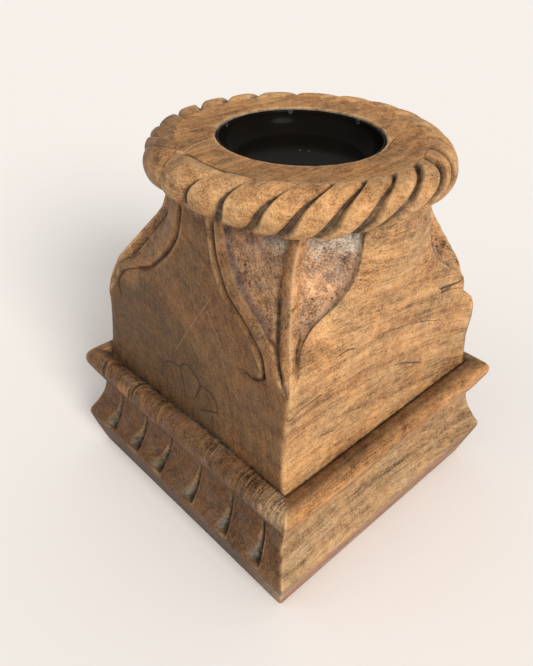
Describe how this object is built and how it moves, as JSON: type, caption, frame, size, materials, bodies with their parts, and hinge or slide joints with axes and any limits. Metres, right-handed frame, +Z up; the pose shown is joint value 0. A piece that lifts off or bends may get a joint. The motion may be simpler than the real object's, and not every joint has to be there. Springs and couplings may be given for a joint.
{
  "type": "column base",
  "caption": "Square carved wooden column base with a moulded plinth, corner leaves that turn it into a round neck, a carved rope ring and a shallow black dish let into its flat top.",
  "frame": {"origin": "middle of the underside", "axes": "+Z up through the round top; -Y out of the carved face with the rolled leaf borders and the petals; +X out of the plain face to its right"},
  "size_m": [0.24, 0.24, 0.2834],
  "materials": {
    "carved_wood": "old waxed teak, worn and rubbed",
    "black_lacquer": "glossy black"
  },
  "bodies": {
    "root": {"carved_base": "carved_wood", "black_dish": "black_lacquer"}
  },
  "joints": []
}
